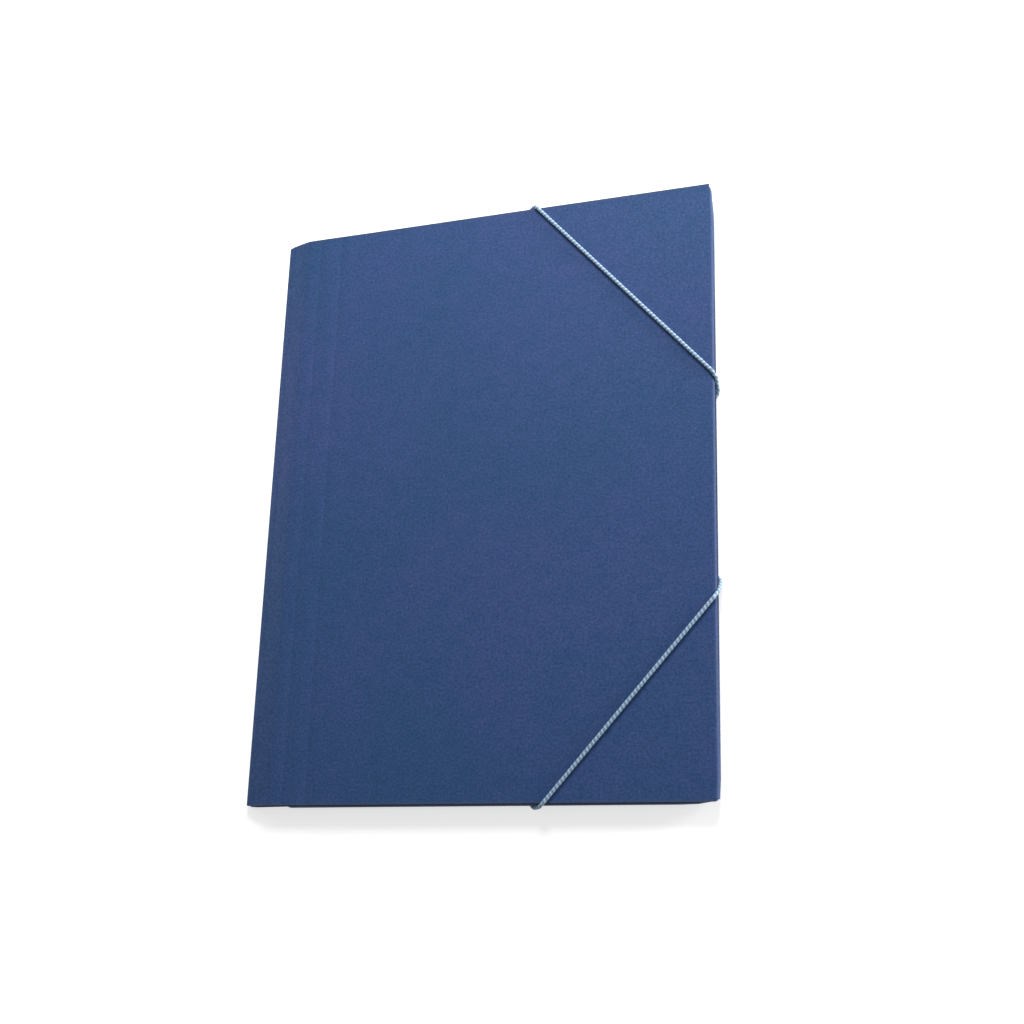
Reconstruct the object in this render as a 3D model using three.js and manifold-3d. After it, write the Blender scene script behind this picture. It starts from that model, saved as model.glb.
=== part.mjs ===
import * as THREE from 'three';
import { mergeVertices } from 'three/addons/utils/BufferGeometryUtils.js';
import Module from 'manifold-3d';

// A4 elastic folder of pressboard card, closed and lying on its back.
// Millimetres, +Z up. The spine is at -X, the fore-edge at +X and the top edge at +Y.
// The origin is under the middle of the whole folder, on the surface it lies on.

// Card
const CARD = 0.6;
const COVER_WIDTH = 247;
const COVER_HEIGHT = 318.5;
const WALL_PROUD_FORE = 1.3;
const WALL_PROUD_END = 0.75;
const FOLDED_THICKNESS = 6.5;
const LAYER_GAP = 0.2;
const FOLD_OUTER_RADIUS = 1.1;

// Scores in the front cover, parallel to the spine, by their distance from it. The front cover
// slopes down to the spine from the second one, and the back cover sags to it from the third.
const SPINE_SCORE = 5;
const SLOPE_SCORE = 15;
const HINGE_SCORE = 23;
const OPENING_SCORE = 36;
const SCORE_HALF_WIDTH = 0.7;
const SCORE_DEPTH = 0.14;
const SLOPE_BEND_RADIUS = 12;
const SPINE_FOLD_HEIGHT = 3.8;
const SPINE_FOLD_RADIUS = 1;
const SPINE_FOOT_WIDTH = 5;
const SPINE_CORNER_RADIUS = 2.2;
const BACK_BEND_RADIUS = 8;

// Flaps turned in from the back cover
const FLAP_START_STATION = 26;
const SIDE_FLAP_DEPTH = COVER_WIDTH / 3;
const SIDE_FLAP_END_TAPER = 26;
const END_FLAP_DEPTH = COVER_HEIGHT * 0.23;
const END_FLAP_SIDE_TAPER = 12;
const CORNER_NOTCH = 0.8;
const FORE_TAPER_TOP = { length: 16, inset: 1.1 };
const FORE_TAPER_BOTTOM = { length: 8, inset: 0.5 };
const END_TAPER = { length: 12, inset: 1.9 };

// Elastics: where each one crosses the edges of the front cover, measured from the cover's corner
// as a share of that edge, and how far in from the folded walls the holes for their ends are
const CORD_DIAMETER = 1.9;
const CLEARANCE = 0.3;
const UPPER_ALONG_END = COVER_WIDTH * 0.3817;
const UPPER_ALONG_FORE = COVER_HEIGHT * 0.3292;
const LOWER_ALONG_END = COVER_WIDTH * 0.3375;
const LOWER_ALONG_FORE = COVER_HEIGHT * 0.3016;
const HOLE_INSET = 24;
const CORD_SIDES = 8;
const HOLE_SIDES = 16;
const CORD_END_RISE = 0.3;
const HOLE_BEND_SPARE = 0.2;
const LEAVING_ANGLE = 18;

// Crimped metal bars on the cord ends, inside the back cover
const BAR_LENGTH = 13;
const BAR_WIDTH = 2.8;
const BAR_THICKNESS = 0.9;
const COLLAR_WALL = 0.6;
const COLLAR_HEIGHT = 1.5;

// How finely curves are divided, how near points are welded and how far cutting shapes reach past
const ARC_STEP = 0.3;
const FOLD_STEPS = 4;
const CORD_BEND_STEPS = 5;
const WELD_DISTANCE = 1e-4;
const OVERRUN = 20;

// Places that follow from the sizes above
const CORD_RADIUS = CORD_DIAMETER / 2;
const CORD_OFFSET = CORD_RADIUS + CLEARANCE;
const CORD_BEND_RADIUS = CORD_RADIUS + HOLE_BEND_SPARE;
const HOLE_RADIUS = CORD_RADIUS + CLEARANCE;
const BACK_Z = CORD_DIAMETER + CLEARANCE;
const FRONT_Z = BACK_Z + FOLDED_THICKNESS;
const BAR_Z = BACK_Z + CARD + CLEARANCE;
const CORD_TIP_Z = BAR_Z + COLLAR_HEIGHT + CORD_END_RISE;
const SIDE_FLAP_Z = FRONT_Z - CARD - LAYER_GAP;
const END_FLAP_Z = SIDE_FLAP_Z - CARD - LAYER_GAP;
const POCKET_WIDTH = COVER_WIDTH + WALL_PROUD_FORE;
const POCKET_HEIGHT = COVER_HEIGHT + 2 * WALL_PROUD_END;
const SPINE_X = -(POCKET_WIDTH + CLEARANCE + CORD_DIAMETER) / 2;
const COVER_X = SPINE_X + COVER_WIDTH;
const POCKET_X = SPINE_X + POCKET_WIDTH;
const COVER_Y = COVER_HEIGHT / 2;
const POCKET_Y = POCKET_HEIGHT / 2;
const FLAP_START_X = SPINE_X + FLAP_START_STATION;

const wasm = await Module();
wasm.setup();

function toSolid(geometry) {
  geometry.deleteAttribute('normal');
  geometry.deleteAttribute('uv');
  const merged = mergeVertices(geometry, WELD_DISTANCE);
  return new wasm.Manifold(new wasm.Mesh({
    numProp: 3,
    vertProperties: new Float32Array(merged.attributes.position.array),
    triVerts: new Uint32Array(merged.index.array),
  }));
}

function toGeometry(solid) {
  const mesh = solid.getMesh();
  const geometry = new THREE.BufferGeometry();
  geometry.setAttribute('position', new THREE.BufferAttribute(mesh.vertProperties, 3));
  geometry.setIndex(new THREE.BufferAttribute(mesh.triVerts, 1));
  geometry.computeVertexNormals();
  return geometry;
}

function prism(shape, bottom, top) {
  const geometry = new THREE.ExtrudeGeometry(shape, { depth: top - bottom, bevelEnabled: false });
  return toSolid(geometry.translate(0, 0, bottom));
}

// A prism whose bottom and top edges are rounded, as card is where it folds
function roundedPrism(shape, bottom, top, radius) {
  const geometry = new THREE.ExtrudeGeometry(shape, {
    depth: top - bottom - 2 * radius,
    bevelEnabled: true,
    bevelThickness: radius,
    bevelSize: radius,
    bevelOffset: -radius,
    bevelSegments: FOLD_STEPS,
  });
  return toSolid(geometry.translate(0, 0, bottom + radius));
}

// Corner points joined by straight lines, each corner rounded with an arc of its own radius
function roundedLine(corners) {
  const points = [];
  corners.forEach(({ at, radius }, i) => {
    if (!radius) {
      points.push(at.clone());
      return;
    }
    const back = corners[i - 1].at.clone().sub(at).normalize();
    const ahead = corners[i + 1].at.clone().sub(at).normalize();
    const half = Math.acos(THREE.MathUtils.clamp(back.dot(ahead), -1, 1)) / 2;
    const reach = radius / Math.tan(half);
    const centre = back.clone().add(ahead).normalize().multiplyScalar(radius / Math.sin(half)).add(at);
    const start = at.clone().addScaledVector(back, reach).sub(centre);
    const turn = Math.PI - 2 * half;
    const side = Math.sign(back.clone().negate().cross(ahead));
    const steps = Math.max(2, Math.ceil(turn / ARC_STEP));
    for (let k = 0; k <= steps; k++) {
      const spoke = start.clone().rotateAround(new THREE.Vector2(), side * turn * k / steps);
      points.push(spoke.add(centre));
    }
  });
  return points;
}

// The section of a strip of card along a line, with the outer face on its left going along
function cardSection(line) {
  const last = line.length - 1;
  const outer = [];
  const inner = [];
  line.forEach((point, i) => {
    const into = line[Math.max(i, 1)].clone().sub(line[Math.max(i - 1, 0)]).normalize();
    const out = line[Math.min(i + 1, last)].clone().sub(line[Math.min(i, last - 1)]).normalize();
    const along = into.clone().add(out).normalize();
    const normal = new THREE.Vector2(along.y, -along.x).multiplyScalar(CARD / 2 / along.dot(into));
    outer.push(point.clone().add(normal));
    inner.push(point.clone().sub(normal));
  });
  return new THREE.Shape([...outer, ...inner.reverse()]);
}

// A shallow groove that a score leaves in the outer face of the card
function scoreGroove(at, slope) {
  const groove = new THREE.Shape([
    new THREE.Vector2(-SCORE_HALF_WIDTH, CARD),
    new THREE.Vector2(-SCORE_HALF_WIDTH, CARD / 2),
    new THREE.Vector2(0, CARD / 2 - SCORE_DEPTH),
    new THREE.Vector2(SCORE_HALF_WIDTH, CARD / 2),
    new THREE.Vector2(SCORE_HALF_WIDTH, CARD),
  ]);
  const depth = COVER_HEIGHT + 2 * OVERRUN;
  const geometry = new THREE.ExtrudeGeometry(groove, { depth, bevelEnabled: false });
  geometry.rotateZ(slope).rotateX(Math.PI / 2).translate(at.x, depth / 2, at.y);
  return toSolid(geometry);
}

// Front cover, spine and the scored part of the back cover, as one strip folded round the spine
function coverStrip() {
  const middle = CARD / 2;
  const slopeTop = new THREE.Vector2(SPINE_X + SLOPE_SCORE, FRONT_Z - middle);
  const slopeFoot = new THREE.Vector2(SPINE_X + middle, SPINE_FOLD_HEIGHT - middle);
  const line = roundedLine([
    { at: new THREE.Vector2(COVER_X, FRONT_Z - middle) },
    { at: slopeTop, radius: SLOPE_BEND_RADIUS },
    { at: slopeFoot, radius: SPINE_FOLD_RADIUS },
    { at: new THREE.Vector2(SPINE_X + middle, middle), radius: SPINE_FOLD_RADIUS },
    { at: new THREE.Vector2(SPINE_X + SPINE_FOOT_WIDTH, middle), radius: BACK_BEND_RADIUS },
    { at: new THREE.Vector2(SPINE_X + HINGE_SCORE, BACK_Z + middle), radius: BACK_BEND_RADIUS },
    { at: new THREE.Vector2(FLAP_START_X + 2 * CARD, BACK_Z + middle) },
  ]);
  const depth = COVER_HEIGHT + 2 * OVERRUN;
  const geometry = new THREE.ExtrudeGeometry(cardSection(line), { depth, bevelEnabled: false });
  geometry.rotateX(Math.PI / 2).translate(0, depth / 2, 0);
  const slope = slopeTop.clone().sub(slopeFoot);
  const spineScore = slopeFoot.clone().lerp(slopeTop, (SPINE_SCORE - middle) / (SLOPE_SCORE - middle));
  let strip = toSolid(geometry).intersect(prism(coverOutline(), -OVERRUN, FRONT_Z + OVERRUN));
  strip = strip.subtract(scoreGroove(spineScore, slope.angle()));
  for (const station of [HINGE_SCORE, OPENING_SCORE]) {
    strip = strip.subtract(scoreGroove(new THREE.Vector2(SPINE_X + station, FRONT_Z - middle), 0));
  }
  return strip;
}

// The cover seen from above: square at the fore-edge, slightly rounded at the ends of the spine
function coverOutline() {
  const r = SPINE_CORNER_RADIUS;
  const shape = new THREE.Shape();
  shape.moveTo(SPINE_X + r, -COVER_Y);
  shape.lineTo(COVER_X + OVERRUN, -COVER_Y);
  shape.lineTo(COVER_X + OVERRUN, COVER_Y);
  shape.lineTo(SPINE_X + r, COVER_Y);
  shape.absarc(SPINE_X + r, COVER_Y - r, r, Math.PI / 2, Math.PI, false);
  shape.absarc(SPINE_X + r, -COVER_Y + r, r, Math.PI, Math.PI * 1.5, false);
  return shape;
}

// The back cover's folded edges seen from above, drawn in towards the two fore-edge corners
function pocketOutline(inset) {
  const left = FLAP_START_X - OVERRUN;
  const right = POCKET_X - inset;
  const top = POCKET_Y - inset;
  return new THREE.Shape([
    new THREE.Vector2(left, -top),
    new THREE.Vector2(right - END_TAPER.length, -top),
    new THREE.Vector2(right - FORE_TAPER_BOTTOM.inset, -top + END_TAPER.inset),
    new THREE.Vector2(right, -top + END_TAPER.inset + FORE_TAPER_BOTTOM.length),
    new THREE.Vector2(right, top - END_TAPER.inset - FORE_TAPER_TOP.length),
    new THREE.Vector2(right - FORE_TAPER_TOP.inset, top - END_TAPER.inset),
    new THREE.Vector2(right - END_TAPER.length, top),
    new THREE.Vector2(left, top),
  ]);
}

// The hollow shape that the folded card would have if every edge were closed, up to one flap's level
function pocketShell(top) {
  const outside = roundedPrism(pocketOutline(0), BACK_Z, top, FOLD_OUTER_RADIUS);
  const inside = roundedPrism(pocketOutline(CARD), BACK_Z + CARD, top - CARD, FOLD_OUTER_RADIUS - CARD);
  return outside.subtract(inside);
}

function sideFlapRegion() {
  const inner = POCKET_X - SIDE_FLAP_DEPTH;
  const wallEnd = POCKET_Y - END_TAPER.inset - CORNER_NOTCH;
  const freeEnd = wallEnd - SIDE_FLAP_END_TAPER;
  return new THREE.Shape([
    new THREE.Vector2(inner, -freeEnd),
    new THREE.Vector2(POCKET_X - OVERRUN, -wallEnd),
    new THREE.Vector2(POCKET_X + OVERRUN, -wallEnd),
    new THREE.Vector2(POCKET_X + OVERRUN, wallEnd),
    new THREE.Vector2(POCKET_X - OVERRUN, wallEnd),
    new THREE.Vector2(inner, freeEnd),
  ]);
}

function endFlapRegion(side) {
  const wallEnd = POCKET_X - FORE_TAPER_TOP.inset - CORNER_NOTCH;
  const free = side * (POCKET_Y - END_FLAP_DEPTH);
  const fold = side * (POCKET_Y - OVERRUN);
  const beyond = side * (POCKET_Y + OVERRUN);
  return new THREE.Shape([
    new THREE.Vector2(FLAP_START_X + END_FLAP_SIDE_TAPER, free),
    new THREE.Vector2(wallEnd - END_FLAP_SIDE_TAPER, free),
    new THREE.Vector2(wallEnd, fold),
    new THREE.Vector2(wallEnd, beyond),
    new THREE.Vector2(FLAP_START_X, beyond),
    new THREE.Vector2(FLAP_START_X, fold),
  ]);
}

// The rest of the back cover, from the scored part to the folds
function backPanel() {
  const shape = new THREE.Shape([
    new THREE.Vector2(FLAP_START_X, -POCKET_Y - OVERRUN),
    new THREE.Vector2(POCKET_X + OVERRUN, -POCKET_Y - OVERRUN),
    new THREE.Vector2(POCKET_X + OVERRUN, POCKET_Y + OVERRUN),
    new THREE.Vector2(FLAP_START_X, POCKET_Y + OVERRUN),
  ]);
  const block = roundedPrism(pocketOutline(0), BACK_Z, FRONT_Z, FOLD_OUTER_RADIUS);
  return block.intersect(prism(shape, 0, BACK_Z + CARD));
}

function folderSheet(holes) {
  let sheet = coverStrip().add(backPanel());
  sheet = sheet.add(pocketShell(SIDE_FLAP_Z).intersect(prism(sideFlapRegion(), 0, FRONT_Z)));
  for (const side of [-1, 1]) {
    sheet = sheet.add(pocketShell(END_FLAP_Z).intersect(prism(endFlapRegion(side), 0, FRONT_Z)));
  }
  for (const { x, y } of holes) {
    const drill = new THREE.CylinderGeometry(HOLE_RADIUS, HOLE_RADIUS, 2 * BACK_Z, HOLE_SIDES);
    drill.rotateX(Math.PI / 2).translate(x, y, BACK_Z + CARD / 2);
    sheet = sheet.subtract(toSolid(drill));
  }
  return toGeometry(sheet);
}

// A line given by its points, taken one by one, with a tangent that halves each corner
class CordRoute extends THREE.Curve {
  constructor(points) {
    super();
    this.points = points;
  }

  getUtoTmapping(u) {
    return u;
  }

  getPoint(t) {
    const place = t * (this.points.length - 1);
    const i = Math.min(Math.floor(place), this.points.length - 2);
    return this.points[i].clone().lerp(this.points[i + 1], place - i);
  }

  getTangent(t) {
    const last = this.points.length - 1;
    const i = Math.round(t * last);
    const here = this.points[i];
    const tangent = new THREE.Vector3();
    if (i > 0) tangent.add(here.clone().sub(this.points[i - 1]).normalize());
    if (i < last) tangent.add(this.points[i + 1].clone().sub(here).normalize());
    return tangent.normalize();
  }
}

function arc(centreU, centreZ, radius, fromDegrees, toDegrees, steps) {
  return Array.from({ length: steps + 1 }, (_, k) => {
    const angle = THREE.MathUtils.degToRad(fromDegrees + (toDegrees - fromDegrees) * k / steps);
    return new THREE.Vector2(centreU + radius * Math.cos(angle), centreZ + radius * Math.sin(angle));
  });
}

// One end of a cord, from the front cover's edge, down the folded wall and in under the back cover
// to its hole. X points outwards from the folder, Y along the edge away from the corner and Z up.
// The taut cord keeps its slope to the edge all the way round, so it drifts along the edge.
function wrapRoute(coverEdge, wallFace, slope) {
  const bottom = BACK_Z - CORD_OFFSET;
  const foldCentre = wallFace - FOLD_OUTER_RADIUS;
  const foldReach = FOLD_OUTER_RADIUS + CORD_OFFSET;
  const holeX = wallFace - HOLE_INSET;
  const outside = [
    ...arc(coverEdge, FRONT_Z, CORD_OFFSET, 90, LEAVING_ANGLE, CORD_BEND_STEPS),
    new THREE.Vector2(wallFace + CORD_OFFSET, SIDE_FLAP_Z - FOLD_OUTER_RADIUS / 2),
    ...arc(foldCentre, BACK_Z + FOLD_OUTER_RADIUS, foldReach, 0, -90, CORD_BEND_STEPS),
  ];
  let drift = 0;
  const route = outside.map((point, i) => {
    if (i) drift += slope * point.distanceTo(outside[i - 1]);
    return new THREE.Vector3(point.x, drift, point.y);
  });
  const squeeze = 1 / Math.hypot(1, slope);
  const bendCentre = bottom + CORD_BEND_RADIUS;
  const bend = arc(CORD_BEND_RADIUS, bendCentre, CORD_BEND_RADIUS, -90, -180, CORD_BEND_STEPS);
  for (const point of [...bend, new THREE.Vector2(0, CORD_TIP_Z)]) {
    const x = holeX + point.x * squeeze;
    route.push(new THREE.Vector3(x, drift + slope * (foldCentre - x), point.y));
  }
  return route;
}

// Route of one elastic, from the hole near the end edge to the hole near the fore-edge.
// side is 1 at the top edge and -1 at the bottom edge.
function elasticRoute(side, alongEnd, alongFore) {
  const atEnd = wrapRoute(COVER_Y, POCKET_Y, alongEnd / alongFore)
    .map((point) => new THREE.Vector3(COVER_X - alongEnd - point.y, side * point.x, point.z));
  const atFore = wrapRoute(COVER_X, POCKET_X, alongFore / alongEnd)
    .map((point) => new THREE.Vector3(point.x, side * (COVER_Y - alongFore - point.y), point.z));
  return [...atEnd.reverse(), ...atFore];
}

function elastic(route) {
  const section = new THREE.Shape(Array.from({ length: CORD_SIDES }, (_, k) => {
    const angle = 2 * Math.PI * (k + 0.5) / CORD_SIDES;
    return new THREE.Vector2(CORD_RADIUS * Math.cos(angle), CORD_RADIUS * Math.sin(angle));
  }));
  return new THREE.ExtrudeGeometry(section, {
    steps: route.length - 1,
    extrudePath: new CordRoute(route),
  });
}

// A flat bar with a round crimped collar in the middle, through which the cord's end passes
function bar(hole) {
  const outer = HOLE_RADIUS + COLLAR_WALL;
  const end = BAR_LENGTH / 2 - BAR_WIDTH / 2;
  const half = BAR_WIDTH / 2;
  const strip = new THREE.Shape();
  strip.moveTo(-end, -half);
  strip.lineTo(end, -half);
  strip.absarc(end, 0, half, -Math.PI / 2, Math.PI / 2, false);
  strip.lineTo(-end, half);
  strip.absarc(-end, 0, half, Math.PI / 2, Math.PI * 1.5, false);
  const round = (radius) => new THREE.Shape().absarc(0, 0, radius, 0, 2 * Math.PI, false);
  const collar = prism(round(outer), 0, COLLAR_HEIGHT);
  const bore = prism(round(HOLE_RADIUS), -OVERRUN, OVERRUN);
  const solid = prism(strip, 0, BAR_THICKNESS).add(collar).subtract(bore);
  const geometry = toGeometry(solid);
  return geometry.rotateZ(hole.turn).translate(hole.x, hole.y, BAR_Z);
}

const cardMaterial = new THREE.MeshStandardMaterial({ color: 0x3f5a89, roughness: 0.85, metalness: 0 });
const cordMaterial = new THREE.MeshStandardMaterial({ color: 0xa5c3e1, roughness: 0.7, metalness: 0 });
const steelMaterial = new THREE.MeshStandardMaterial({ color: 0xb8bcc2, roughness: 0.35, metalness: 1 });

const elastics = [
  { name: 'upper_elastic', side: 1, end: 'top', alongEnd: UPPER_ALONG_END, alongFore: UPPER_ALONG_FORE },
  { name: 'lower_elastic', side: -1, end: 'bottom', alongEnd: LOWER_ALONG_END, alongFore: LOWER_ALONG_FORE },
];
for (const cord of elastics) {
  cord.route = elasticRoute(cord.side, cord.alongEnd, cord.alongFore);
  const endTip = cord.route[0];
  const sideTip = cord.route[cord.route.length - 1];
  const lean = Math.atan2(cord.alongEnd, cord.alongFore);
  cord.holes = [
    { name: cord.end, x: endTip.x, y: endTip.y, turn: -cord.side * lean },
    { name: 'side', x: sideTip.x, y: sideTip.y, turn: -cord.side * lean },
  ];
}

const folder = new THREE.Group();

function addPiece(name, geometry, material) {
  const mesh = new THREE.Mesh(geometry, material);
  mesh.name = name;
  folder.add(mesh);
}

addPiece('folder_sheet', folderSheet(elastics.flatMap((cord) => cord.holes)), cardMaterial);
for (const cord of elastics) {
  addPiece(cord.name, elastic(cord.route), cordMaterial);
  for (const hole of cord.holes) {
    addPiece(`${cord.name}_${hole.name}_bar`, bar(hole), steelMaterial);
  }
}

export default folder;
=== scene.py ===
import math

import bmesh
import bpy
from mathutils import Matrix, Vector


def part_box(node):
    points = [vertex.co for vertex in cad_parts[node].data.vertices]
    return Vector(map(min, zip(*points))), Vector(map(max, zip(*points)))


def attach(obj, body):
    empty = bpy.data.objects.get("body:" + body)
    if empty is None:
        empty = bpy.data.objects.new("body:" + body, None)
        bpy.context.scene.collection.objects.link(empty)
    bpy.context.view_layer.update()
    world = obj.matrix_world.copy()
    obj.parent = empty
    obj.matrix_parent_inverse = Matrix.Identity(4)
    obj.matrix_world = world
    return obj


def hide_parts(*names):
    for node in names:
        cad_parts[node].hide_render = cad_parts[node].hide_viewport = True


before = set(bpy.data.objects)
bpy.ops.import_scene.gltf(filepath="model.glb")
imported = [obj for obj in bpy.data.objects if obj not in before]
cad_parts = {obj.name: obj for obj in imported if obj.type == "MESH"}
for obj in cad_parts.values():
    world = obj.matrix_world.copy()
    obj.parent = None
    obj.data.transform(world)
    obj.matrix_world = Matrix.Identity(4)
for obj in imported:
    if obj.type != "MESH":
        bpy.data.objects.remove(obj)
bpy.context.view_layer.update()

MM = 0.001

# Sizes of the folded card and its cords, in metres, as in the solids
CARD = 0.6 * MM
LAYER_GAP = 0.2 * MM
CLEARANCE = 0.3 * MM
CORD_RADIUS = 0.95 * MM
FOLD_RADIUS = 0.8 * MM
FOLD_OUTER_RADIUS = FOLD_RADIUS + CARD / 2
WALL_PROUD_FORE = 1.3 * MM
WALL_PROUD_END = 0.75 * MM
SHEET_LOW, SHEET_HIGH = (Vector(corner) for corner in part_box("folder_sheet"))
SPINE_X = SHEET_LOW.x
POCKET_X = SHEET_HIGH.x
COVER_X = POCKET_X - WALL_PROUD_FORE
POCKET_Y = SHEET_HIGH.y
COVER_Y = POCKET_Y - WALL_PROUD_END
BACK_Z = 2 * CORD_RADIUS + CLEARANCE
FRONT_Z = SHEET_HIGH.z
SIDE_FLAP_Z = FRONT_Z - CARD - LAYER_GAP
END_FLAP_Z = SIDE_FLAP_Z - CARD - LAYER_GAP

# Scores and folds beside the spine, measured from it
SPINE_SCORE = 5 * MM
SLOPE_SCORE = 15 * MM
HINGE_SCORE = 23 * MM
OPENING_SCORE = 36 * MM
SCORE_HALF_WIDTH = 0.7 * MM
SCORE_DEPTH = 0.1 * MM
SCORE_PROFILE = ((1, 0), (0.5, 0.55), (0, 1), (-0.5, 0.55), (-1, 0))
SLOPE_BEND_RADIUS = 12 * MM
SPINE_FOLD_HEIGHT = 3.8 * MM
SPINE_FOLD_RADIUS = 1 * MM
SPINE_FOOT_WIDTH = 5 * MM
SPINE_CORNER_RADIUS = 2.2 * MM
BACK_BEND_RADIUS = 8 * MM

# Flaps and the walls that carry them. A taper is how far along it runs and how deep it gets
FLAP_START_X = SPINE_X + 26 * MM
SIDE_FLAP_DEPTH = (COVER_X - SPINE_X) / 3
SIDE_FLAP_END_TAPER = 26 * MM
SIDE_FLAP_STRAIGHT = 0.2
END_FLAP_DEPTH = 0.46 * COVER_Y
END_FLAP_SIDE_TAPER = 12 * MM
END_FLAP_STRAIGHT = 0.25
CORNER_NOTCH = 0.3 * MM
SIDE_WALL_END = POCKET_Y - FOLD_OUTER_RADIUS - CORNER_NOTCH
END_WALL_END = POCKET_X - FOLD_OUTER_RADIUS - CORNER_NOTCH
SIDE_WALL_SPARE = 1.2 * MM
END_WALL_SPARE = 0.6 * MM
FORE_TAPER_TOP = (16 * MM, 1.1 * MM)
FORE_TAPER_BOTTOM = (8 * MM, 0.5 * MM)
END_TAPER = (12 * MM, 1.9 * MM)
CORNER_REACH = 20 * MM
CORNER_EASE = 18 * MM

# Divisions of the card's mesh
CARD_ROWS = 64
FRONT_COLUMNS = 42
FRONT_MARGIN = 5 * MM
BACK_COLUMNS = 24
FLAP_COLUMNS = 6
FOLD_STEPS = 6
BEND_STEP = 12
HOLE_SIDES = 40
WELD_DISTANCE = 0.005 * MM
EDGE_BEVEL = 0.07 * MM
BEVEL_ANGLE = 60
SMOOTH_ANGLE = 35

# Places of one mesh that are taken as the same
NEAR = 0.02 * MM

# Unevenness of the front cover: waves across x and y in radians per metre, with their phase
WAVE_LIFT = 0.11 * MM
WAVE_START = 30 * MM
BROAD_WAVES = ((21, 9, 1.1), (-6, 17, 0.6))
FINE_WAVES = ((47, -31, 0), (0, 39, 0.9 + math.pi / 2))
FINE_SHARE = 0.45
WAVE_LEVEL = 0.4

# How pale the card is on its walls and along its spine, 0 to 1: on the fore-edge wall this is a painted
# highlight, on the end walls and the spine it is wear
FORE_WALL_PAINTED_HIGHLIGHT = 0.3
END_WEAR = 0.12
SPINE_WEAR = 0.2

# Elastics: where each one crosses the edges of the front cover, from the cover's corner
UPPER = {"side": 1, "along_end": 94.3 * MM, "along_fore": 104.9 * MM}
LOWER = {"side": -1, "along_end": 83.4 * MM, "along_fore": 96.1 * MM}
HOLE_INSET = 24 * MM
CORD_BEND_RADIUS = CORD_RADIUS + 0.2 * MM
COLLAR_HEIGHT = 1.5 * MM
CORD_END_RISE = 0.3 * MM
CORD_TIP_Z = BACK_Z + CARD + CLEARANCE + COLLAR_HEIGHT + CORD_END_RISE
CORD_OFFSET = CORD_RADIUS + CLEARANCE
SNUG_OFFSET = CORD_RADIUS + 0.06 * MM
EDGE_LEAVING_ANGLE = 18
EDGE_STEPS = 8
UNDER_STEPS = 10
HOLE_STEPS = 6

# Braid of the elastics
YARNS = 6
YARN_SPACING = 1.13 * MM
BRAID_PITCH = 2 * YARNS * YARN_SPACING
BRAID_DEPTH = 0.12 * MM
YARN_FLATNESS = 0.7
UNDER_HEIGHT = 0.45
SECTION_POINTS = 36
SECTION_STEP = 0.22 * MM
EASING_PASSES = 3
FIRST_SIDE = Vector((0.3, 0.2, 0.93))

# Finishes: places on a ramp with linear colours, and colours by themselves
NAVY = (0.35, (0.024, 0.066, 0.173)), (0.65, (0.034, 0.066, 0.189))
PATCHES = (0.35, (0.84, 0.97, 0.96)), (0.65, (1.16, 1.03, 1.04))
GRAIN = (0.3, (0.66, 0.68, 0.7)), (0.7, (1.34, 1.32, 1.3))
FLECKS = (0.8, (0, 0, 0)), (0.84, (0.25, 0.25, 0.25))
CARD_ROUGHNESS = (0.2, (0.78, 0.78, 0.78)), (0.8, (0.62, 0.62, 0.62))
# Pale navy for the painted highlight on the fore-edge wall and for the wear at the card's ends and spine
WORN_AND_PAINTED_LIGHT_CARD = (0.11, 0.13, 0.2, 1)
RIM_CARD = (0.06, 0.075, 0.115, 1)
RIM_OUTER = 0.2 * MM
RIM_INNER = 1.4 * MM
RIM_SHARE = 0.5
GRAIN_HEIGHT = 0.06 * MM
# The dark stop is painted shade between the yarns; the blue cast of every stop is a painted reflection of
# the navy card
YARN_TONES_PAINTED_SHADE_AND_REFLECTION = (0.15, (0.11, 0.2, 0.3)), (0.5, (0.24, 0.36, 0.49)), (0.85, (0.44, 0.58, 0.72))
TONE_PERIOD = 2.26
BEAD_SHARE = 0.34
THREAD_SHARE = 0.14
THREAD_TURNS = 3
THREAD_PERIODS = 2
STEEL_TONES = (0.3, (0.48, 0.48, 0.5)), (0.7, (0.62, 0.62, 0.64))
STEEL_ROUGHNESS = (0.3, (0.42, 0.42, 0.42)), (0.7, (0.28, 0.28, 0.28))

# Studio
BLACK = (0, 0, 0, 1)
WHITE = (1, 1, 1, 1)
WORLD_COLOUR = (0.24, 0.24, 0.24, 1)
FLOOR_COLOUR = (0.82, 0.82, 0.82, 1)
FLOOR_GLOW = 0.62
FLOOR_SIZE = 2.4
LAMPS = (
    {"name": "key", "place": (0.14, 0.66, 0.52), "aim": (0.05, 0.1, 0), "size": 0.4, "power": 7.4},
    {"name": "fore-edge fill", "place": (0.85, 0.2, 0.1), "aim": (0.12, 0.02, 0), "size": 0.3, "power": 7.8},
    {"name": "spine fill", "place": (-0.85, 0.3, 0.14), "aim": (-0.12, 0.05, 0), "size": 0.3, "power": 1.4},
)

# The photograph's view, solved from the cover's edges on a square picture
SENSOR_WIDTH = 36
LENS = 52.596
CAMERA_RIGHT = Vector((0.942464, 0.028444, -0.333097))
CAMERA_UP = Vector((0.071808, 0.955893, 0.2848))
CAMERA_BACK = Vector((0.326506, -0.292333, 0.898852))
CAMERA_PLACE = Vector((267.41, -235.74, 695.76)) * MM
FARTHEST_SEEN = 20


def add_camera():
    camera = bpy.data.objects.new("camera", bpy.data.cameras.new("camera"))
    bpy.context.collection.objects.link(camera)
    camera.data.sensor_width = SENSOR_WIDTH
    camera.data.lens = LENS
    camera.data.clip_end = FARTHEST_SEEN
    turn = Matrix((CAMERA_RIGHT, CAMERA_UP, CAMERA_BACK)).transposed()
    camera.matrix_world = Matrix.Translation(CAMERA_PLACE) @ turn.to_4x4()
    bpy.context.scene.camera = camera


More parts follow.
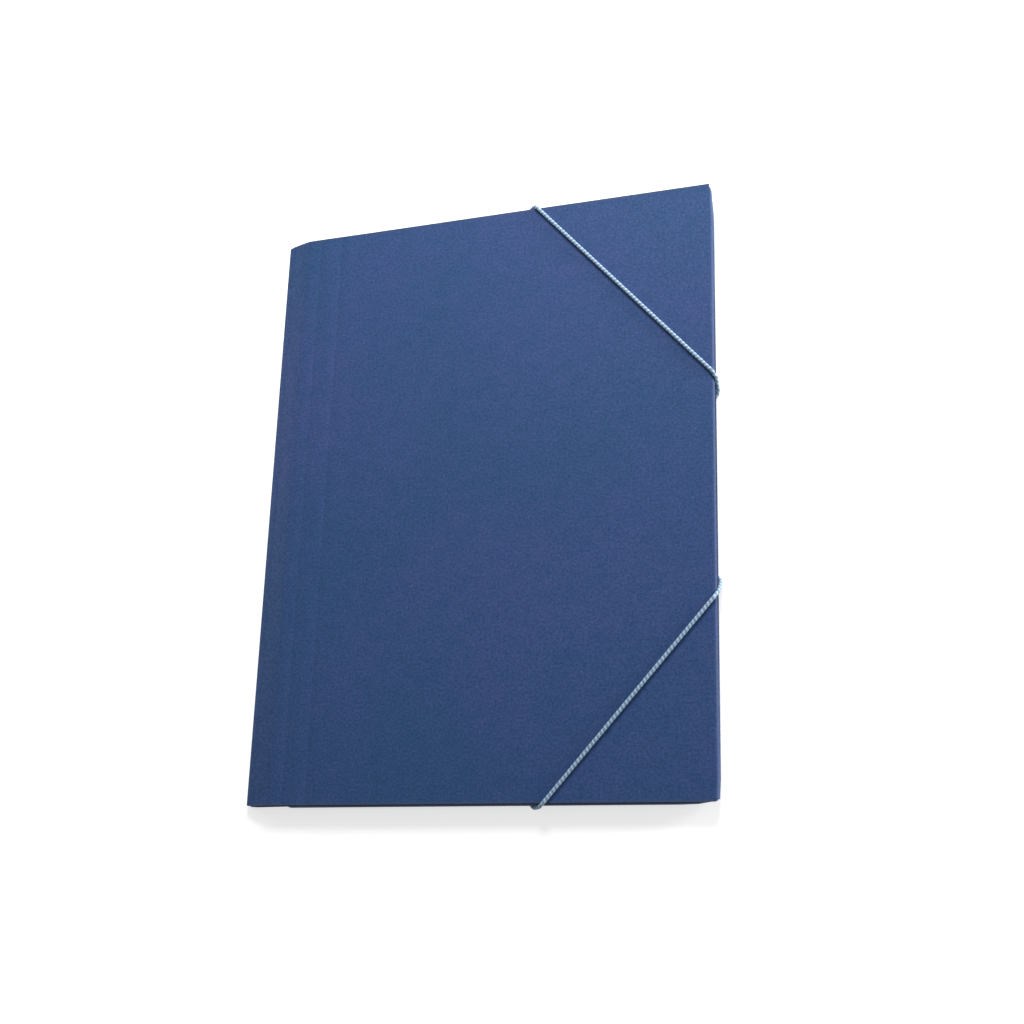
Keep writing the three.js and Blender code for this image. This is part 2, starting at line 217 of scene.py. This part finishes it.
def arc(centre, radius, start, end, steps):
    """Points of an arc in the plane of a section, from one angle in degrees to another."""
    points = []
    for k in range(steps + 1):
        angle = math.radians(start + (end - start) * k / steps)
        points.append(Vector((centre[0] + radius * math.cos(angle), centre[1] + radius * math.sin(angle))))
    return points


def rounded_line(corners):
    """Corner points (x, z, radius) joined by straight lines and rounded with arcs."""
    points = []
    for i, (x, z, radius) in enumerate(corners):
        here = Vector((x, z))
        if not radius:
            points.append(here)
            continue
        back = (Vector(corners[i - 1][:2]) - here).normalized()
        ahead = (Vector(corners[i + 1][:2]) - here).normalized()
        half = back.angle(ahead) / 2
        centre = here + (back + ahead).normalized() * (radius / math.sin(half))
        start = here + back * (radius / math.tan(half)) - centre
        end = here + ahead * (radius / math.tan(half)) - centre
        first = math.degrees(math.atan2(start.y, start.x))
        turn = math.degrees(start.angle_signed(end))
        points += arc(centre, radius, first, first - turn, max(2, math.ceil(abs(turn) / BEND_STEP)))
    return points


def groove(x, z, slope):
    """A score: the card is pressed down along a line, on the cover's way to the spine."""
    along = Vector((math.cos(slope), math.sin(slope)))
    down = Vector((along.y, -along.x))
    here = Vector((x, z))
    return [
        (*(here + along * SCORE_HALF_WIDTH * across + down * SCORE_DEPTH * deep), 0)
        for across, deep in SCORE_PROFILE
    ]


def cover_line():
    """Middle of the card from the front cover's fore-edge round the spine to the back cover's fold."""
    middle = CARD / 2
    top = FRONT_Z - middle
    slope = math.atan2(top - SPINE_FOLD_HEIGHT + middle, SLOPE_SCORE - middle)
    share = (SPINE_SCORE - middle) / (SLOPE_SCORE - middle)
    score_z = SPINE_FOLD_HEIGHT - middle + (top - SPINE_FOLD_HEIGHT + middle) * share
    opening = SPINE_X + OPENING_SCORE
    front_end = opening + FRONT_MARGIN
    front = [
        (COVER_X + (front_end - COVER_X) * k / FRONT_COLUMNS, top, 0)
        for k in range(FRONT_COLUMNS + 1)
    ]
    back = BACK_Z + middle
    fold_start = POCKET_X - FOLD_OUTER_RADIUS
    panel = [
        (FLAP_START_X + (fold_start - FLAP_START_X) * k / BACK_COLUMNS, back, 0)
        for k in range(1, BACK_COLUMNS + 1)
    ]
    return rounded_line([
        *front,
        *groove(opening, top, 0),
        *groove(SPINE_X + HINGE_SCORE, top, 0),
        (SPINE_X + SLOPE_SCORE, top, SLOPE_BEND_RADIUS),
        *groove(SPINE_X + SPINE_SCORE, score_z, slope),
        (SPINE_X + middle, SPINE_FOLD_HEIGHT - middle, SPINE_FOLD_RADIUS),
        (SPINE_X + middle, middle, SPINE_FOLD_RADIUS),
        (SPINE_X + SPINE_FOOT_WIDTH, middle, BACK_BEND_RADIUS),
        (SPINE_X + HINGE_SCORE, back, BACK_BEND_RADIUS),
        (FLAP_START_X, back, 0),
        *panel,
    ])


def select_edges(card, test):
    """Selects the sheet's free edges whose ends both pass the test, and nothing else."""
    bpy.ops.mesh.select_all(action="DESELECT")
    mesh = bmesh.from_edit_mesh(card.data)
    for edge in mesh.edges:
        if edge.is_boundary and all(test(vertex.co) for vertex in edge.verts):
            edge.select_set(True)
    bmesh.update_edit_mesh(card.data)


def extrude_steps(steps):
    for step in steps:
        bpy.ops.mesh.extrude_region_move(TRANSFORM_OT_translate={"value": tuple(step)})


def steps_of(points):
    return [b - a for a, b in zip(points, points[1:])]


def folded_up(flap_z, depth):
    """Steps (outwards, upwards) of a flap: round the fold, up the wall, round again and in."""
    low = BACK_Z + CARD / 2
    high = flap_z - CARD / 2
    line = arc((0, low + FOLD_RADIUS), FOLD_RADIUS, -90, 0, FOLD_STEPS)
    line += arc((0, high - FOLD_RADIUS), FOLD_RADIUS, 0, 90, FOLD_STEPS)
    inner = depth - FOLD_OUTER_RADIUS
    line += [Vector((-inner * k / FLAP_COLUMNS, high)) for k in range(1, FLAP_COLUMNS + 1)]
    return steps_of(line)


def smooth(value):
    value = min(max(value, 0), 1)
    return value * value * (3 - 2 * value)


def start_card():
    """The covers and the spine as the middle surface of the card, drawn out of one strip."""
    line = cover_line()
    bpy.ops.object.select_all(action="DESELECT")
    bpy.ops.mesh.primitive_grid_add(x_subdivisions=1, y_subdivisions=CARD_ROWS, size=1)
    card = bpy.context.object
    card.name = "card_sheet"
    first = line[1] - line[0]
    card.scale = (-first.x, 2 * COVER_Y, 1)
    card.location = (line[0].x + first.x / 2, 0, line[0].y)
    bpy.ops.object.transform_apply(location=True, rotation=True, scale=True)
    bpy.ops.object.mode_set(mode="EDIT")
    bpy.ops.mesh.select_mode(type="EDGE")
    select_edges(card, lambda at: abs(at.x - line[1].x) < NEAR)
    extrude_steps(Vector((step.x, 0, step.y)) for step in steps_of(line[1:]))
    return card


def in_back_panel(at):
    return at.z < BACK_Z + CARD and at.x > FLAP_START_X - NEAR


def select_panel(card):
    """Selects the faces of the flat back panel."""
    bpy.ops.mesh.select_all(action="DESELECT")
    mesh = bmesh.from_edit_mesh(card.data)
    for face in mesh.faces:
        if all(in_back_panel(vertex.co) for vertex in face.verts):
            face.select_set(True)
    bmesh.update_edit_mesh(card.data)


def narrow_back(card):
    """Brings the back panel in to where its top and bottom folds begin, and cuts its walls' ends."""
    fold_start = POCKET_Y - FOLD_OUTER_RADIUS
    share = fold_start / COVER_Y
    mesh = bmesh.from_edit_mesh(card.data)
    for vertex in mesh.verts:
        if in_back_panel(vertex.co):
            vertex.co.y *= share
    bmesh.update_edit_mesh(card.data)
    cuts = (
        ((0, SIDE_WALL_END, 0), (0, 1, 0)),
        ((0, -SIDE_WALL_END, 0), (0, 1, 0)),
        ((END_WALL_END, 0, 0), (1, 0, 0)),
    )
    for place, across in cuts:
        select_panel(card)
        bpy.ops.mesh.bisect(plane_co=place, plane_no=across)


def add_flaps(card):
    """Folds the side flap and the two end flaps up from the back panel and in."""
    low = BACK_Z + CARD / 2
    fore = POCKET_X - FOLD_OUTER_RADIUS
    end = POCKET_Y - FOLD_OUTER_RADIUS

    def on_side_fold(at):
        return abs(at.z - low) < NEAR and abs(at.x - fore) < NEAR and abs(at.y) < SIDE_WALL_END + NEAR

    def on_end_fold(at, side):
        in_reach = FLAP_START_X - NEAR < at.x < END_WALL_END + NEAR
        return abs(at.z - low) < NEAR and abs(at.y - side * end) < NEAR and in_reach

    select_edges(card, on_side_fold)
    extrude_steps(Vector((step.x, 0, step.y)) for step in folded_up(SIDE_FLAP_Z, SIDE_FLAP_DEPTH))
    for side in (1, -1):
        select_edges(card, lambda at: on_end_fold(at, side))
        steps = folded_up(END_FLAP_Z, END_FLAP_DEPTH)
        extrude_steps(Vector((0, side * step.x, step.y)) for step in steps)


def taper_share(along, start, length):
    return min(max((along - start) / length, 0), 1)


def round_spine_end(at, side, away):
    """Rounds the end of the spine's edge."""
    reach = SPINE_X + SPINE_CORNER_RADIUS - at.x
    if away > COVER_Y - NEAR and reach > 0:
        drop = SPINE_CORNER_RADIUS - math.sqrt(max(SPINE_CORNER_RADIUS ** 2 - reach ** 2, 0))
        at.y = side * (away - drop)


def close_corner(at, side):
    """Brings the ends of the walls together above the folds."""
    above_fold = smooth((at.z - BACK_Z - CARD / 2) / FOLD_OUTER_RADIUS)
    if at.x > POCKET_X - FOLD_OUTER_RADIUS - NEAR and abs(abs(at.y) - SIDE_WALL_END) < NEAR:
        at.y += side * SIDE_WALL_SPARE * above_fold
    if abs(at.y) > POCKET_Y - FOLD_OUTER_RADIUS - NEAR and abs(at.x - END_WALL_END) < NEAR:
        at.x += END_WALL_SPARE * above_fold


def taper_flaps(at, away):
    """Narrows the flaps towards their free edges."""
    if abs(at.z - SIDE_FLAP_Z + CARD / 2) < NEAR:
        share = (POCKET_X - at.x) / SIDE_FLAP_DEPTH
        taper = smooth((share - SIDE_FLAP_STRAIGHT) / (1 - SIDE_FLAP_STRAIGHT))
        at.y *= 1 - taper * SIDE_FLAP_END_TAPER / SIDE_WALL_END
    if abs(at.z - END_FLAP_Z + CARD / 2) < NEAR:
        share = max(0, (POCKET_Y - away) / END_FLAP_DEPTH - END_FLAP_STRAIGHT)
        middle = (FLAP_START_X + END_WALL_END) / 2
        at.x -= (at.x - middle) / (END_WALL_END - middle) * share * END_FLAP_SIDE_TAPER


def shape_outline(card):
    """Tapers the flaps, draws the folds in towards the fore-edge corners and rounds the spine's ends."""
    mesh = bmesh.from_edit_mesh(card.data)
    for vertex in mesh.verts:
        at = vertex.co
        side = 1 if at.y > 0 else -1
        close_corner(at, side)
        away = abs(at.y)
        is_cover = at.z > SIDE_FLAP_Z or at.x < FLAP_START_X - NEAR
        if is_cover:
            round_spine_end(at, side, away)
            continue
        taper_flaps(at, away)
        length, inset = FORE_TAPER_TOP if side > 0 else FORE_TAPER_BOTTOM
        end_length, end_inset = END_TAPER
        near_fore = taper_share(at.x, POCKET_X - CORNER_REACH, CORNER_EASE)
        near_end = taper_share(away, POCKET_Y - CORNER_REACH, CORNER_EASE)
        pull_x = inset * taper_share(away, POCKET_Y - end_inset - length, length) * near_fore
        pull_y = end_inset * taper_share(at.x, POCKET_X - end_length, end_length) * near_end
        at.x -= pull_x
        at.y -= side * pull_y
    bmesh.update_edit_mesh(card.data)


def ripple(at, wave):
    return math.sin(wave[0] * at.x + wave[1] * at.y + wave[2])


def wave_cover(card):
    """The slight unevenness of a large sheet of card."""
    for vertex in card.data.vertices:
        at = vertex.co
        inside = smooth((at.x - SPINE_X - HINGE_SCORE) / WAVE_START)
        swell = ripple(at, BROAD_WAVES[0]) * ripple(at, BROAD_WAVES[1])
        swell += FINE_SHARE * ripple(at, FINE_WAVES[0]) * ripple(at, FINE_WAVES[1])
        if at.z > SIDE_FLAP_Z:
            at.z += WAVE_LIFT * (swell - WAVE_LEVEL) * inside


def add_punches(card):
    """Cutters for the four holes in the back cover through which the cords pass, as one object."""
    bpy.ops.object.select_all(action="DESELECT")
    cutters = []
    for sizes in (UPPER, LOWER):
        route = cord_route(**sizes)
        for end in (route[0], route[-1]):
            bpy.ops.mesh.primitive_cylinder_add(
                vertices=HOLE_SIDES, radius=CORD_RADIUS + CLEARANCE, depth=4 * CARD,
                location=(end.x, end.y, BACK_Z + CARD / 2))
            cutters.append(bpy.context.object)
    for cutter in cutters:
        cutter.select_set(True)
    bpy.ops.object.join()
    punches = bpy.context.object
    bpy.ops.object.select_all(action="DESELECT")
    card.select_set(True)
    bpy.context.view_layer.objects.active = card
    return punches


def finish_card(card):
    """Welds the sheet, gives it the card's thickness, punches its holes and breaks its cut edges."""
    bpy.ops.mesh.select_all(action="SELECT")
    bpy.ops.mesh.remove_doubles(threshold=WELD_DISTANCE)
    bpy.ops.mesh.normals_make_consistent(inside=False)
    bpy.ops.object.mode_set(mode="OBJECT")
    wave_cover(card)
    punches = add_punches(card)
    wall = card.modifiers.new("card thickness", "SOLIDIFY")
    wall.thickness = CARD
    wall.offset = 0
    wall.use_even_offset = True
    holes = card.modifiers.new("punched holes", "BOOLEAN")
    holes.operation = "DIFFERENCE"
    holes.solver = "EXACT"
    holes.object = punches
    edges = card.modifiers.new("cut edges", "BEVEL")
    edges.width = EDGE_BEVEL
    edges.segments = 1
    edges.limit_method = "ANGLE"
    edges.angle_limit = math.radians(BEVEL_ANGLE)
    for modifier in ("card thickness", "punched holes", "cut edges"):
        bpy.ops.object.modifier_apply(modifier=modifier)
    bpy.data.objects.remove(punches)
    bpy.ops.object.shade_smooth_by_angle(angle=math.radians(SMOOTH_ANGLE))


def mark_wear_and_painted_light(card):
    """How pale the card is: a painted highlight on the fore-edge wall, for the light that falls on that
    side, and wear where the card is folded sharply at its ends and spine, as its fibres are stretched there.
    """
    wear_and_painted_light = card.data.attributes.new("wear_and_painted_light", "FLOAT", "POINT")
    for vertex, value in zip(card.data.vertices, wear_and_painted_light.data):
        at = vertex.co
        # The fore-edge wall's pale tone is a painted highlight, for the light that falls on that side; the
        # ends and the spine are paler by wear
        fore = smooth((at.x - COVER_X - 0.1 * MM) / (0.4 * MM))
        ends = smooth((abs(at.y) - COVER_Y) / (0.5 * MM))
        spine = smooth((SPINE_X + 1.2 * MM - at.x) / MM) * smooth((at.z - 1 * MM) / MM)
        value.value = max(FORE_WALL_PAINTED_HIGHLIGHT * fore, END_WEAR * ends, SPINE_WEAR * spine)


def make_card():
    card = start_card()
    narrow_back(card)
    add_flaps(card)
    shape_outline(card)
    finish_card(card)
    mark_wear_and_painted_light(card)
    return card


def wrap_points(cover_edge, wall_face, slope):
    """One end of a cord: outwards, along the edge and up, from the cover's edge to its hole."""
    bottom = BACK_Z - CORD_OFFSET
    fold_centre = wall_face - FOLD_OUTER_RADIUS
    hole = wall_face - HOLE_INSET
    outside = arc((cover_edge, FRONT_Z), SNUG_OFFSET, 90, EDGE_LEAVING_ANGLE, EDGE_STEPS)
    outside.append(Vector((wall_face + SNUG_OFFSET, SIDE_FLAP_Z - FOLD_OUTER_RADIUS / 2)))
    fold_place = (fold_centre, BACK_Z + FOLD_OUTER_RADIUS)
    fold = arc(fold_place, FOLD_OUTER_RADIUS + SNUG_OFFSET, 0, -90, UNDER_STEPS)
    drop = SNUG_OFFSET - CORD_OFFSET
    outside += [point + Vector((0, drop * k / UNDER_STEPS)) for k, point in enumerate(fold)]
    drift = 0
    points = []
    for i, point in enumerate(outside):
        if i:
            drift += slope * (point - outside[i - 1]).length
        points.append(Vector((point.x, drift, point.y)))
    squeeze = 1 / math.hypot(1, slope)
    bend_place = (CORD_BEND_RADIUS, bottom + CORD_BEND_RADIUS)
    bend = arc(bend_place, CORD_BEND_RADIUS, -90, -180, HOLE_STEPS)
    for point in [*bend, Vector((0, CORD_TIP_Z))]:
        x = hole + point.x * squeeze
        points.append(Vector((x, drift + slope * (fold_centre - x), point.y)))
    return points


def cord_route(side, along_end, along_fore):
    """The taut route from the hole near the end edge to the hole near the fore-edge."""
    at_end = wrap_points(COVER_Y, POCKET_Y, along_end / along_fore)
    at_fore = wrap_points(COVER_X, POCKET_X, along_fore / along_end)
    route = [Vector((COVER_X - along_end - p.y, side * p.x, p.z)) for p in reversed(at_end)]
    return route + [Vector((p.x, side * (COVER_Y - along_fore - p.y), p.z)) for p in at_fore]


def resample(route, step):
    """Points along the route, about a step apart, with its sharp corners eased, and their true step."""
    lengths = [0]
    for a, b in zip(route, route[1:]):
        lengths.append(lengths[-1] + (b - a).length)
    count = round(lengths[-1] / step)
    points = []
    i = 0
    for k in range(count + 1):
        target = lengths[-1] * k / count
        while i < len(route) - 2 and lengths[i + 1] < target:
            i += 1
        share = (target - lengths[i]) / (lengths[i + 1] - lengths[i])
        points.append(route[i].lerp(route[i + 1], share))
    for _ in range(EASING_PASSES):
        eased = [(a + 2 * b + c) / 4 for a, b, c in zip(points, points[1:], points[2:])]
        points = [points[0], *eased, points[-1]]
    return points, lengths[-1] / count


def braid_height(turn, along):
    """Height of the braid, 0 to 1: two sets of yarns that wind opposite ways and pass over and under."""
    right = YARNS * (turn + along / BRAID_PITCH)
    left = YARNS * (turn - along / BRAID_PITCH)
    over = 0.5 + 0.5 * math.cos(math.pi * (right + left))
    right_yarn = abs(math.cos(math.pi * right)) ** YARN_FLATNESS
    left_yarn = abs(math.cos(math.pi * left)) ** YARN_FLATNESS
    rise = 1 - UNDER_HEIGHT
    return max(right_yarn * (UNDER_HEIGHT + rise * over), left_yarn * (UNDER_HEIGHT + rise * (1 - over)))


def make_cord(name, route):
    """A braided cord round the route, with the braid as real relief and its own UV map, in turns and mm."""
    points, step = resample(route, SECTION_STEP)
    side = FIRST_SIDE
    vertices, faces, uvs = [], [], []
    for i, point in enumerate(points):
        along = (points[min(i + 1, len(points) - 1)] - points[max(i - 1, 0)]).normalized()
        side = (side - along * side.dot(along)).normalized()
        other = along.cross(side)
        for k in range(SECTION_POINTS):
            turn = k / SECTION_POINTS
            radius = CORD_RADIUS - BRAID_DEPTH * (1 - braid_height(turn, i * step))
            angle = 2 * math.pi * turn
            vertices.append(point + (side * math.cos(angle) + other * math.sin(angle)) * radius)
    for i in range(len(points) - 1):
        for k in range(SECTION_POINTS):
            after = (k + 1) % SECTION_POINTS
            low, high = i * SECTION_POINTS, (i + 1) * SECTION_POINTS
            faces.append((low + k, low + after, high + after, high + k))
            u = (k / SECTION_POINTS, (k + 1) / SECTION_POINTS)
            v = (i * step / MM, (i + 1) * step / MM)
            uvs += [(u[0], v[0]), (u[1], v[0]), (u[1], v[1]), (u[0], v[1])]
    last = (len(points) - 1) * SECTION_POINTS
    faces.append(tuple(reversed(range(SECTION_POINTS))))
    faces.append(tuple(last + k for k in range(SECTION_POINTS)))
    uvs += [(0, 0)] * (2 * SECTION_POINTS)
    mesh = bpy.data.meshes.new(name)
    mesh.from_pydata(vertices, [], faces)
    layer = mesh.uv_layers.new(name="braid")
    for loop, uv in zip(layer.data, uvs):
        loop.uv = uv
    mesh.shade_smooth()
    cord = bpy.data.objects.new(name, mesh)
    bpy.context.collection.objects.link(cord)
    return cord


def new_material(name):
    material = bpy.data.materials.new(name)
    material.use_nodes = True
    nodes = material.node_tree.nodes
    return material, nodes, material.node_tree.links, nodes["Principled BSDF"]


def maths(nodes, links, operation, *values):
    node = nodes.new("ShaderNodeMath")
    node.operation = operation
    for socket, value in zip(node.inputs, values):
        if isinstance(value, bpy.types.NodeSocket):
            links.new(value, socket)
        else:
            socket.default_value = value
    return node.outputs["Value"]


def noise(nodes, links, coordinates, scale, detail, roughness=0.5):
    texture = nodes.new("ShaderNodeTexNoise")
    texture.inputs["Scale"].default_value = scale
    texture.inputs["Detail"].default_value = detail
    texture.inputs["Roughness"].default_value = roughness
    links.new(coordinates, texture.inputs["Vector"])
    return texture.outputs["Fac"]


def ramp(nodes, links, value, stops):
    colours = nodes.new("ShaderNodeValToRGB")
    elements = colours.color_ramp.elements
    while len(elements) < len(stops):
        elements.new(0.5)
    for element, (place, colour) in zip(elements, stops):
        element.position = place
        element.color = (*colour, 1)
    links.new(value, colours.inputs["Fac"])
    return colours.outputs["Color"]


def mix(nodes, links, kind, share, first, second):
    node = nodes.new("ShaderNodeMix")
    node.data_type = "RGBA"
    node.blend_type = kind
    for name, value in (("Factor", share), ("A", first), ("B", second)):
        socket = next(s for s in node.inputs if s.name == name and s.enabled)
        if isinstance(value, bpy.types.NodeSocket):
            links.new(value, socket)
        else:
            socket.default_value = value
    return next(s for s in node.outputs if s.enabled)


def card_rim(nodes, links, place):
    """Share of the duller tone in a narrow band along the top and bottom edges."""
    split = nodes.new("ShaderNodeSeparateXYZ")
    links.new(place, split.inputs["Vector"])
    away = maths(nodes, links, "ABSOLUTE", split.outputs["Y"])
    rim = nodes.new("ShaderNodeMapRange")
    rim.inputs["From Min"].default_value = COVER_Y - RIM_INNER
    rim.inputs["From Max"].default_value = COVER_Y - RIM_OUTER
    rim.inputs["To Max"].default_value = RIM_SHARE
    links.new(away, rim.inputs["Value"])
    return rim.outputs["Result"]


def card_material():
    """Matt navy pressboard: mottled by its fibres, with a fine grain and a few pale specks."""
    material, nodes, links, shader = new_material("navy pressboard")
    place = nodes.new("ShaderNodeTexCoord").outputs["Object"]
    cloud = ramp(nodes, links, noise(nodes, links, place, scale=9, detail=2), NAVY)
    patches = noise(nodes, links, place, scale=130, detail=3, roughness=0.65)
    colour = mix(nodes, links, "MULTIPLY", 1.0, cloud, ramp(nodes, links, patches, PATCHES))
    mottle = noise(nodes, links, place, scale=800, detail=4, roughness=0.65)
    colour = mix(nodes, links, "MULTIPLY", 1.0, colour, ramp(nodes, links, mottle, GRAIN))
    flecks = ramp(nodes, links, noise(nodes, links, place, scale=900, detail=1), FLECKS)
    colour = mix(nodes, links, "ADD", 0.5, colour, flecks)
    # Paler card where the attribute says so: a painted highlight on the fore-edge wall, and wear at the ends
    # and spine
    wear_and_light_node = nodes.new("ShaderNodeAttribute")
    wear_and_light_node.attribute_name = "wear_and_painted_light"
    colour = mix(nodes, links, "MIX", wear_and_light_node.outputs["Fac"], colour, WORN_AND_PAINTED_LIGHT_CARD)
    colour = mix(nodes, links, "MIX", card_rim(nodes, links, place), colour, RIM_CARD)
    links.new(colour, shader.inputs["Base Color"])
    links.new(ramp(nodes, links, mottle, CARD_ROUGHNESS), shader.inputs["Roughness"])
    shader.inputs["Specular IOR Level"].default_value = 0.2
    bump = nodes.new("ShaderNodeBump")
    bump.inputs["Strength"].default_value = 0.35
    bump.inputs["Distance"].default_value = GRAIN_HEIGHT
    links.new(mottle, bump.inputs["Height"])
    links.new(bump.outputs["Normal"], shader.inputs["Normal"])
    return material


def cord_material():
    """Braided elastic in two tones: darker blue yarns with pale ones that wind through them. The darker tone
    is painted shade between the yarns, and the blue cast of both tones is a painted reflection of the navy
    card.
    """
    material, nodes, links, shader = new_material("braided elastic")
    uv = nodes.new("ShaderNodeUVMap")
    uv.uv_map = "braid"
    split = nodes.new("ShaderNodeSeparateXYZ")
    links.new(uv.outputs["UV"], split.inputs["Vector"])

    def shape(operation, *values):
        return maths(nodes, links, operation, *values)

    turns = shape("MULTIPLY", split.outputs["X"], 2 * math.pi)
    along = shape("MULTIPLY", split.outputs["Y"], 2 * math.pi / TONE_PERIOD)
    # The bead and thread waves darken the cord in spirals: painted shade between the yarns
    bead = shape("SINE", shape("ADD", turns, along))
    round_cord = shape("MULTIPLY", turns, THREAD_TURNS)
    down_cord = shape("MULTIPLY", along, THREAD_PERIODS)
    thread = shape("SINE", shape("SUBTRACT", round_cord, down_cord))
    tone = shape("ADD", shape("MULTIPLY", bead, BEAD_SHARE), shape("MULTIPLY", thread, THREAD_SHARE))
    tone = shape("ADD", tone, 0.5)
    links.new(ramp(nodes, links, tone, YARN_TONES_PAINTED_SHADE_AND_REFLECTION), shader.inputs["Base Color"])
    shader.inputs["Roughness"].default_value = 0.62
    shader.inputs["Sheen Weight"].default_value = 0.1
    return material


def steel_material():
    """Plain pressed steel with fine scratches."""
    material, nodes, links, shader = new_material("pressed steel")
    place = nodes.new("ShaderNodeTexCoord").outputs["Object"]
    scratches = noise(nodes, links, place, scale=1500, detail=2)
    links.new(ramp(nodes, links, scratches, STEEL_TONES), shader.inputs["Base Color"])
    links.new(ramp(nodes, links, scratches, STEEL_ROUGHNESS), shader.inputs["Roughness"])
    shader.inputs["Metallic"].default_value = 1
    return material


def set_material(piece, material):
    piece.data.materials.clear()
    piece.data.materials.append(material)


def seen_as_backdrop(nodes, links):
    """Share, 0 or 1: the ray comes from the camera or off something glossy or clear."""
    rays = nodes.new("ShaderNodeLightPath")
    share = rays.outputs["Is Camera Ray"]
    for kind in ("Is Glossy Ray", "Is Transmission Ray"):
        share = maths(nodes, links, "MAXIMUM", share, rays.outputs[kind])
    return share


def add_floor():
    """A white floor that keeps the folder's shadow."""
    bpy.ops.object.select_all(action="DESELECT")
    bpy.ops.mesh.primitive_plane_add(size=FLOOR_SIZE)
    floor = bpy.context.object
    floor.name = "floor"
    material, nodes, links, shader = new_material("white floor")
    shader.inputs["Base Color"].default_value = FLOOR_COLOUR
    shader.inputs["Roughness"].default_value = 1
    shader.inputs["Specular IOR Level"].default_value = 0
    glow = mix(nodes, links, "MIX", seen_as_backdrop(nodes, links), BLACK, WHITE)
    links.new(glow, shader.inputs["Emission Color"])
    shader.inputs["Emission Strength"].default_value = FLOOR_GLOW
    set_material(floor, material)


def add_lamp(name, place, aim, size, power):
    lamp = bpy.data.objects.new(name, bpy.data.lights.new(name, "AREA"))
    lamp.data.shape = "DISK"
    lamp.data.size = size
    lamp.data.energy = power
    lamp.location = place
    lamp.rotation_euler = (Vector(place) - Vector(aim)).to_track_quat("Z", "Y").to_euler()
    bpy.context.collection.objects.link(lamp)


def add_light():
    """Soft lamps and a grey world that shows white as a background."""
    world = bpy.data.worlds.new("studio")
    bpy.context.scene.world = world
    world.use_nodes = True
    nodes, links = world.node_tree.nodes, world.node_tree.links
    sky = mix(nodes, links, "MIX", seen_as_backdrop(nodes, links), WORLD_COLOUR, WHITE)
    links.new(sky, nodes["Background"].inputs["Color"])
    for lamp in LAMPS:
        add_lamp(**lamp)


add_camera()
add_light()
add_floor()

card = make_card()
set_material(card, card_material())
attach(card, "root")
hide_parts("folder_sheet")

braid = cord_material()
for name, sizes in (("upper_elastic", UPPER), ("lower_elastic", LOWER)):
    cord = make_cord(name.replace("elastic", "cord"), cord_route(**sizes))
    set_material(cord, braid)
    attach(cord, "root")
    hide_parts(name)

steel = steel_material()
for name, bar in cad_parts.items():
    if name.endswith("_bar"):
        set_material(bar, steel)

bpy.context.scene.view_settings.view_transform = "Standard"
